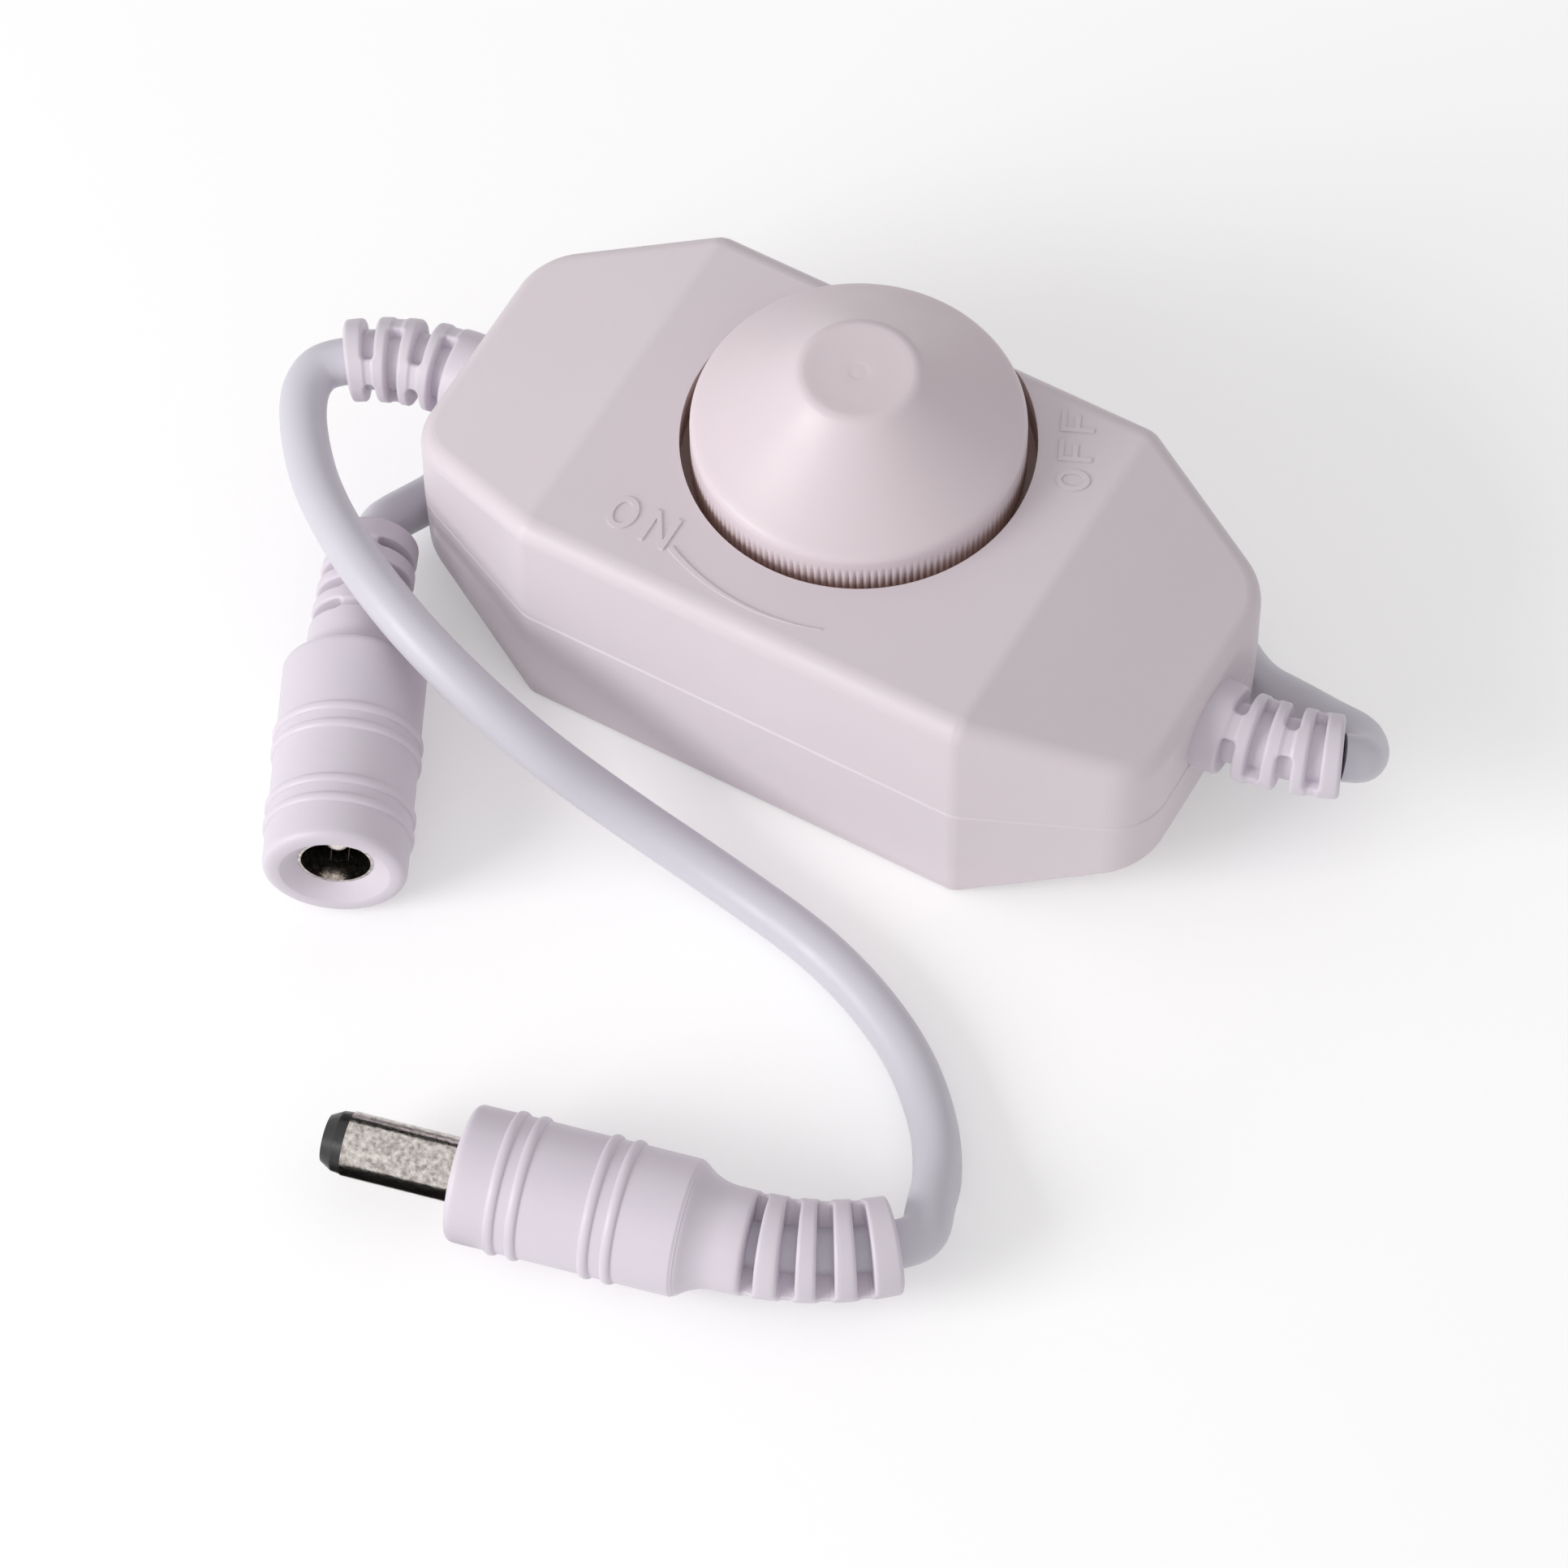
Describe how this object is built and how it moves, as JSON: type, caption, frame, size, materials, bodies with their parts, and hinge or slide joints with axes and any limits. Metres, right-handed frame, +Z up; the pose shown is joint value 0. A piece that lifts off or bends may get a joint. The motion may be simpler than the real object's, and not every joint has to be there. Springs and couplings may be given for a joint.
{
  "type": "led strip dimmer",
  "caption": "In-line rotary dimmer for low voltage light strips: eight-sided two-shell case, conical knob in a round well, and a cord with a barrel plug or barrel jack at each end.",
  "frame": {"origin": "centre of the case's flat underside, on the surface that it rests on", "axes": "+X along the case towards the gland whose cord ends in the jack, +Y towards the side that the knob is set back to, +Z up along the knob's axis"},
  "size_m": [0.1033, 0.0944, 0.0356],
  "materials": {
    "case_plastic": "fine satin moulded surface, warm white",
    "knob_plastic": "smooth satin, warm white",
    "cord_vinyl": "smooth soft vinyl, cool white",
    "connector_vinyl": "satin soft vinyl, light grey white",
    "plated_metal": "bright nickel plating",
    "steel": "zinc plated steel",
    "pressed_metal": "pressed plated sheet",
    "brass": "turned brass",
    "black_plastic": "black moulded plastic",
    "board_laminate": "brown laminate",
    "phenolic": "brown phenolic sheet",
    "carbon_print": "matt carbon print",
    "solder": "bright solder",
    "resistor_body": "beige lacquer",
    "capacitor_sleeve": "dark heat shrink sleeve",
    "red_vinyl": "red wire insulation",
    "black_vinyl": "black wire insulation"
  },
  "bodies": {
    "case": {"upper_cover": "case_plastic", "lower_cover": "case_plastic", "case_screws": "steel", "pot_can": "pressed_metal", "pot_bushing": "brass", "pot_nut": "brass", "pot_washer": "steel", "pot_wafer": "phenolic", "resistance_track": "carbon_print", "pot_terminals": "pressed_metal", "circuit_board": "board_laminate", "board_screws": "steel", "transistor_body": "black_plastic", "transistor_tab": "pressed_metal", "capacitor": "capacitor_sleeve", "timer_chip": "black_plastic", "diode": "black_plastic", "resistors": "resistor_body", "solder_joints": "solder", "left_gland": "connector_vinyl", "right_gland": "connector_vinyl", "left_cord_inlet": "cord_vinyl", "right_cord_inlet": "cord_vinyl", "left_red_core": "red_vinyl", "left_black_core": "black_vinyl", "right_red_core": "red_vinyl", "right_black_core": "black_vinyl", "left_cord": "cord_vinyl", "right_cord": "cord_vinyl", "plug_overmould": "connector_vinyl", "plug_cord_inlet": "cord_vinyl", "plug_barrel": "plated_metal", "plug_insulator": "black_plastic", "plug_contact": "plated_metal", "jack_overmould": "connector_vinyl", "jack_cord_inlet": "cord_vinyl", "jack_sleeve": "plated_metal", "jack_spring": "plated_metal", "jack_insulator": "black_plastic", "jack_pin": "plated_metal"},
    "knob": {"knob": "knob_plastic", "pot_shaft": "brass", "pot_rotor": "black_plastic", "pot_wiper": "brass"}
  },
  "joints": [
    {"name": "knob_turn", "type": "hinge", "parent": "case", "child": "knob", "pos_m": [-0.0004, 0.0042, 0.0255], "axis": [0, 0, -1], "range_deg": [0, 280]}
  ]
}
